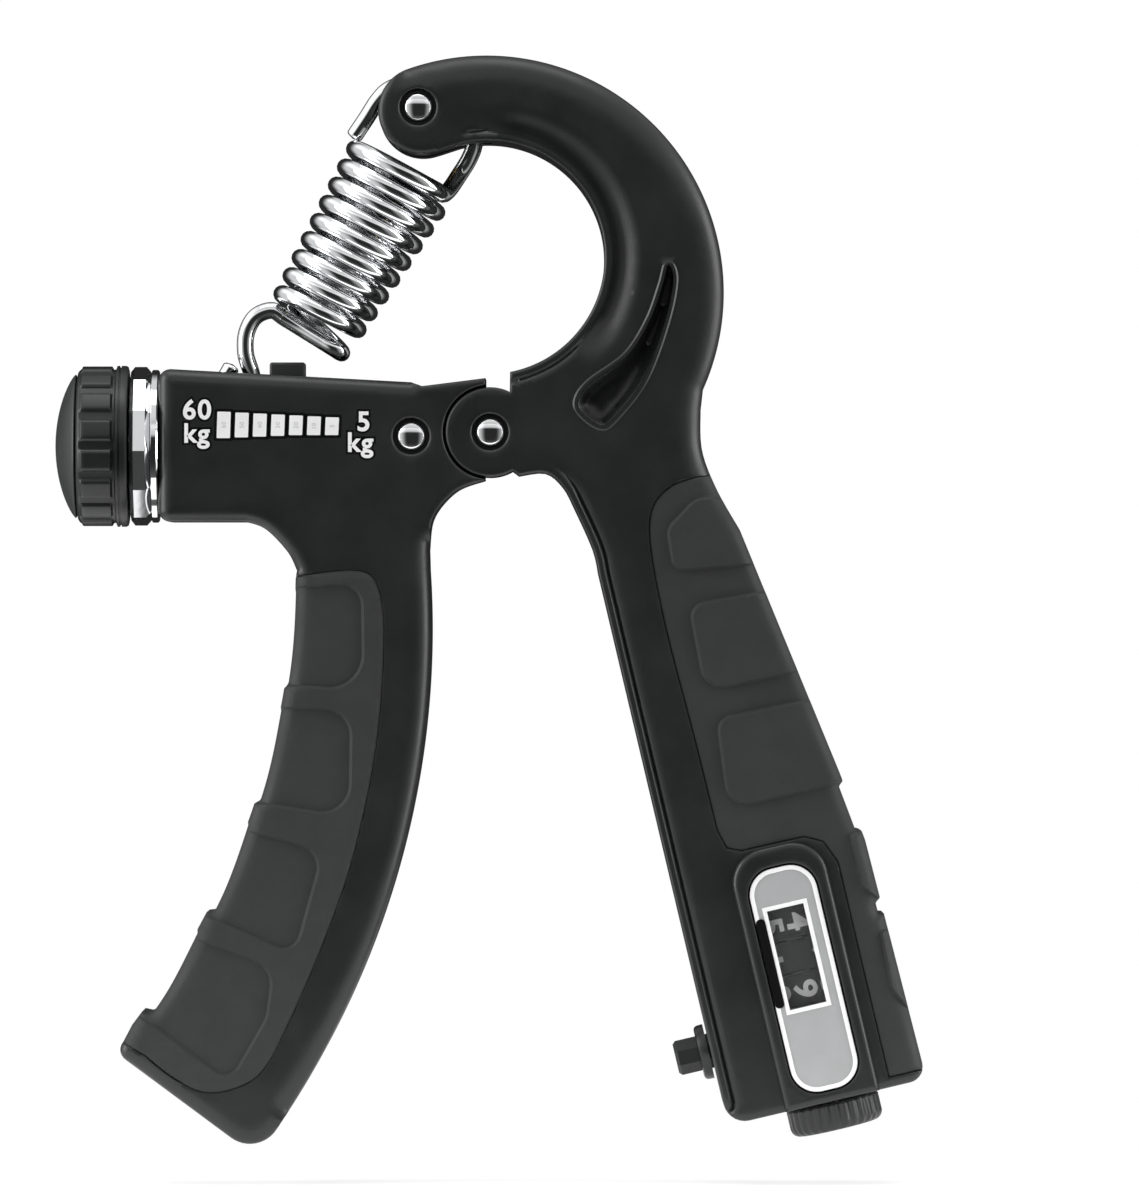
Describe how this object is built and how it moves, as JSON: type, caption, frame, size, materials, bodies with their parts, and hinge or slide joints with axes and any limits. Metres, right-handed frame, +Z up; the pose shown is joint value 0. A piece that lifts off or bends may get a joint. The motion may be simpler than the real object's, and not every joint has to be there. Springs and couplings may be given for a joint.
{
  "type": "adjustable hand grip exerciser",
  "caption": "R-shaped spring hand grip exerciser: two hinged handles, an extension spring with a screw strength adjuster, and a push-button squeeze counter with digit wheels.",
  "frame": {"origin": "on the floor under the middle of the standing object, half way through its thickness", "axes": "+Z up the object's height, +X from the adjusting knob towards the palm side, +Y from the front with the scale and the counter window to the rear with the screws"},
  "size_m": [0.1278, 0.0238, 0.1602],
  "materials": {
    "black_plastic": "satin moulded",
    "soft_grip": "fine matt",
    "chrome": "polished",
    "steel": "plain zinc plated",
    "brass": "turned",
    "faceplate": "silver satin with bright rim",
    "wheel_black": "satin, grey printed figures",
    "nylon": "natural",
    "lens": "clear"
  },
  "bodies": {
    "hook_handle": {"hook_front_shell": "black_plastic", "hook_rear_shell": "black_plastic", "palm_grip": "soft_grip", "pivot_rivet": "chrome", "pivot_bush": "brass", "pivot_washer_front": "nylon", "pivot_washer_rear": "nylon", "spring_rivet": "chrome", "hook_screw_1": "steel", "hook_screw_2": "steel", "hook_screw_3": "steel", "hook_screw_4": "steel", "hook_screw_5": "steel", "counter_faceplate": "faceplate", "window_lens": "lens", "counter_frame": "steel", "plunger_collar": "black_plastic", "pinion_shaft": "steel", "detent_spring": "steel", "plunger_spring": "steel"},
    "lever_handle": {"lever_front_shell": "black_plastic", "lever_rear_shell": "black_plastic", "finger_grip": "soft_grip", "barrel_rivet": "chrome", "thrust_washer": "nylon", "collar_ring": "chrome", "screw_end_bush": "brass", "lever_screw_1": "steel", "lever_screw_2": "steel", "lever_screw_3": "steel", "lever_screw_4": "steel"},
    "strength_knob": {"knob_rim": "black_plastic", "knob_cap": "black_plastic", "lead_screw": "steel", "screw_clip": "steel"},
    "hook_carriage": {"carriage": "black_plastic", "carriage_nut": "brass", "hook_pin": "steel"},
    "spring_seat": {"spring_bush": "brass"},
    "spring_top": {"spring_upper": "chrome"},
    "spring_tail": {"spring_lower": "chrome"},
    "spring_foot": {"spring_hook": "chrome"},
    "count_plunger": {"plunger": "black_plastic", "drive_pawl": "steel"},
    "units": {"units_wheel": "wheel_black", "ratchet_wheel": "steel"},
    "tens": {"tens_wheel": "wheel_black"},
    "hundreds": {"hundreds_wheel": "wheel_black"},
    "lower_pinion": {"transfer_pinion_lower": "nylon"},
    "upper_pinion": {"transfer_pinion_upper": "nylon"},
    "reset": {"reset_knob": "black_plastic", "wheel_shaft": "steel"}
  },
  "joints": [
    {"name": "grip_squeeze", "type": "hinge", "parent": "hook_handle", "child": "lever_handle", "pos_m": [0.00035, 0, 0.10472], "axis": [0, -1, 0], "range_deg": [0, 31.4], "stiffness_Nm_per_rad": 8, "springref_deg": -8.59},
    {"name": "knob_turn", "type": "hinge", "parent": "lever_handle", "child": "strength_knob", "pos_m": [-0.04845, 0, 0.10274], "axis": [1, 0, 0], "range_deg": [-1497.6, 374.4]},
    {"name": "carriage_slide", "type": "slide", "parent": "lever_handle", "child": "hook_carriage", "axis": [-1, 0, 0], "range_m": [-0.0105, 0.0027]},
    {"name": "spring_aim", "type": "hinge", "parent": "hook_handle", "child": "spring_seat", "pos_m": [-0.01025, 0, 0.15252], "axis": [0, -1, 0], "range_deg": [-2.8, 10.8]},
    {"name": "spring_swing", "type": "hinge", "parent": "spring_seat", "child": "spring_top", "pos_m": [-0.01025, 0, 0.15252], "axis": [0, -1, 0], "range_deg": [0, 11.62]},
    {"name": "spring_stretch", "type": "slide", "parent": "spring_top", "child": "spring_tail", "axis": [-0.5293, 0, -0.8484], "range_m": [0, 0.01687], "deforming": ["spring_upper", "spring_lower"]},
    {"name": "spring_shorten", "type": "slide", "parent": "spring_tail", "child": "spring_foot", "axis": [-0.5293, 0, -0.8484], "range_m": [-0.0049, 0.0013], "deforming": ["spring_hook"]},
    {"name": "plunger_press", "type": "slide", "parent": "hook_handle", "child": "count_plunger", "axis": [0.9733, 0, 0.2297], "range_m": [0, 0.003], "stiffness_N_per_m": 300, "springref_m": -0.003, "deforming": ["plunger_spring"]},
    {"name": "units_turn", "type": "hinge", "parent": "hook_handle", "child": "units", "pos_m": [0.04645, -0.002, 0.02442], "axis": [-0.2297, 0, 0.9733], "continuous": true},
    {"name": "tens_turn", "type": "hinge", "parent": "hook_handle", "child": "tens", "pos_m": [0.04645, -0.002, 0.02442], "axis": [-0.2297, 0, 0.9733], "continuous": true},
    {"name": "hundreds_turn", "type": "hinge", "parent": "hook_handle", "child": "hundreds", "pos_m": [0.04645, -0.002, 0.02442], "axis": [-0.2297, 0, 0.9733], "continuous": true},
    {"name": "lower_pinion_turn", "type": "hinge", "parent": "hook_handle", "child": "lower_pinion", "pos_m": [0.05093, 0.005, 0.02548], "axis": [-0.2297, 0, 0.9733], "continuous": true},
    {"name": "upper_pinion_turn", "type": "hinge", "parent": "hook_handle", "child": "upper_pinion", "pos_m": [0.05093, 0.005, 0.02548], "axis": [-0.2297, 0, 0.9733], "continuous": true},
    {"name": "reset_turn", "type": "hinge", "parent": "hook_handle", "child": "reset", "pos_m": [0.04645, -0.002, 0.02442], "axis": [-0.2297, 0, 0.9733], "continuous": true}
  ],
  "couplings": [
    {"joint": "carriage_slide", "follows": "knob_turn", "m_per_rad": 0.00039789},
    {"joint": "spring_aim", "follows": "knob_turn", "ratio": -0.0071528},
    {"joint": "spring_shorten", "follows": "knob_turn", "m_per_rad": 0.00018303},
    {"joint": "spring_swing", "follows": "grip_squeeze", "ratio": 0.367},
    {"joint": "spring_stretch", "follows": "grip_squeeze", "m_per_rad": 0.0306},
    {"joint": "tens_turn", "follows": "units_turn", "ratio": 0.1},
    {"joint": "hundreds_turn", "follows": "units_turn", "ratio": 0.01},
    {"joint": "lower_pinion_turn", "follows": "units_turn", "ratio": -0.25},
    {"joint": "upper_pinion_turn", "follows": "units_turn", "ratio": -0.025}
  ]
}
